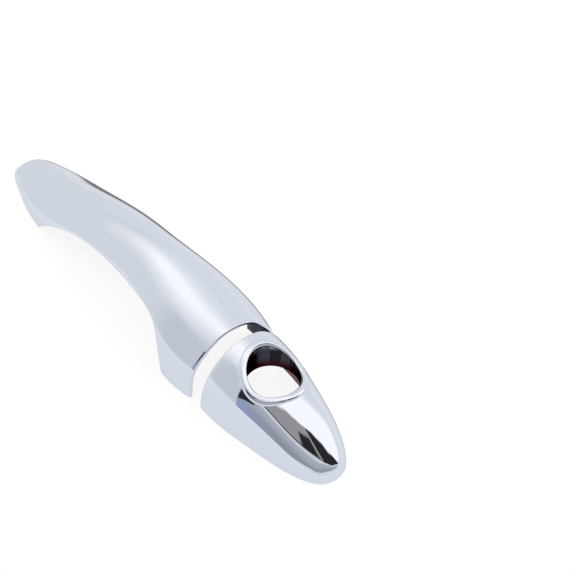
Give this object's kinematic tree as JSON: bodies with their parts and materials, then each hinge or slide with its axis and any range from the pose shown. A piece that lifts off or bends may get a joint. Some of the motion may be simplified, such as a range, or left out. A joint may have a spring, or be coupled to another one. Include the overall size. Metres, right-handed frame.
{
  "type": "car door handle cover",
  "caption": "Chrome stick-on cover for a strap type car door handle: long arched grip cover and a separate bullet shaped cap with a key opening.",
  "frame": {"origin": "middle of the base plane that both mouldings stand on", "axes": "+X from the foot of the grip cover to the nose of the key cap, +Z away from the door"},
  "size_m": [0.25, 0.0482, 0.0348],
  "materials": {
    "bright_plating": "mirror bright chrome plating on moulded plastic",
    "foam_tape": "soft dark grey foam tape",
    "release_film": "thin red release film"
  },
  "bodies": {
    "root": {"grip_cover": "bright_plating", "key_cap": "bright_plating", "foot_tape": "foam_tape", "foot_liner": "release_film", "centre_tape": "foam_tape", "centre_liner": "release_film", "rear_tape": "foam_tape", "rear_liner": "release_film", "nose_tape": "foam_tape", "nose_liner": "release_film", "near_side_tape": "foam_tape", "near_side_liner": "release_film", "far_side_tape": "foam_tape", "far_side_liner": "release_film"}
  },
  "joints": []
}
